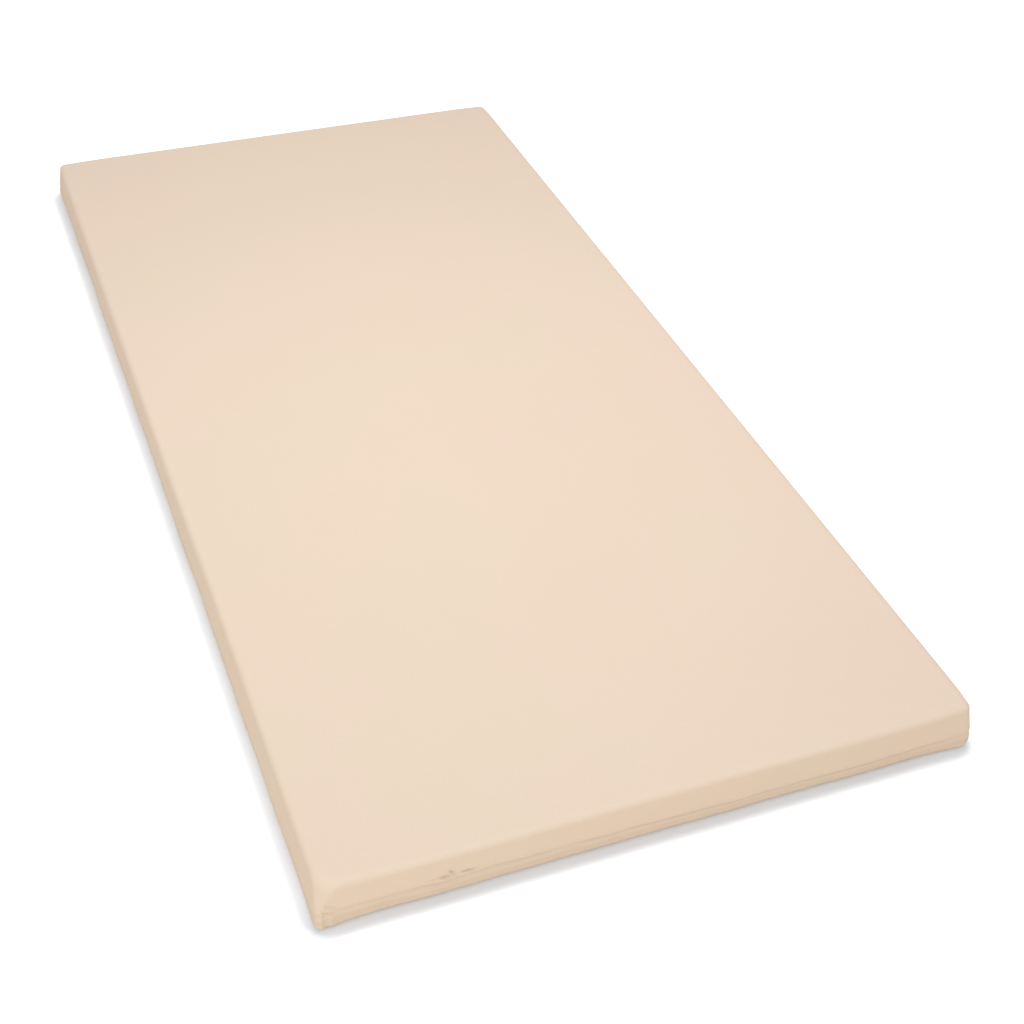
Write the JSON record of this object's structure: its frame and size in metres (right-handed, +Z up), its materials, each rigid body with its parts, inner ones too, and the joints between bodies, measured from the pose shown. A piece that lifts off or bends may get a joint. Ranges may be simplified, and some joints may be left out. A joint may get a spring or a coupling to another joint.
{
  "type": "memory foam mattress",
  "caption": "Thin single foam mattress: memory foam over support foam in a liner, inside a smooth knitted cover with a zip along one long side.",
  "frame": {"origin": "middle of the underside, on the surface that the mattress lies on", "axes": "+X across the width, towards the long side with the zip; +Y along the length towards the head end; +Z up"},
  "size_m": [0.9006, 1.9006, 0.07],
  "materials": {
    "cover_cloth": "satin",
    "thread": "satin",
    "zip_tape": "matte",
    "zip_coil": "satin",
    "zip_metal": "satin",
    "liner_knit": "matte",
    "memory_foam": "matte",
    "glue": "gloss",
    "support_foam": "matte"
  },
  "bodies": {
    "mattress": {"cover_top": "cover_cloth", "cover_bottom": "cover_cloth", "corner_seam_head_right": "cover_cloth", "corner_seam_head_left": "cover_cloth", "corner_seam_foot_left": "cover_cloth", "corner_seam_foot_right": "cover_cloth", "hem_stitch_right": "thread", "hem_stitch_head": "thread", "hem_stitch_left": "thread", "hem_stitch_foot": "thread", "zip_tape_upper": "zip_tape", "zip_tape_lower": "zip_tape", "zip_coil_upper": "zip_coil", "zip_coil_lower": "zip_coil", "zip_stitch_upper": "thread", "zip_stitch_lower": "thread", "zip_top_stops": "zip_metal", "zip_bottom_stop": "zip_metal", "zip_end_patch_head": "cover_cloth", "zip_end_patch_foot": "cover_cloth", "liner_top": "liner_knit", "liner_bottom": "liner_knit", "liner_seam": "thread", "memory_foam": "memory_foam", "glue_film": "glue", "support_foam": "support_foam"},
    "zip_slider": {"zip_slider": "zip_metal"},
    "zip_pull_tab": {"zip_pull_tab": "zip_metal"}
  },
  "joints": [
    {"name": "zip_slide", "type": "slide", "parent": "mattress", "child": "zip_slider", "axis": [0, 1, 0], "range_m": [-1.6784, 0]},
    {"name": "pull_tab_hinge", "type": "hinge", "parent": "zip_slider", "child": "zip_pull_tab", "pos_m": [0.4483, 0.8392, 0.031], "axis": [0, 0, 1], "range_deg": [0, 165]}
  ]
}
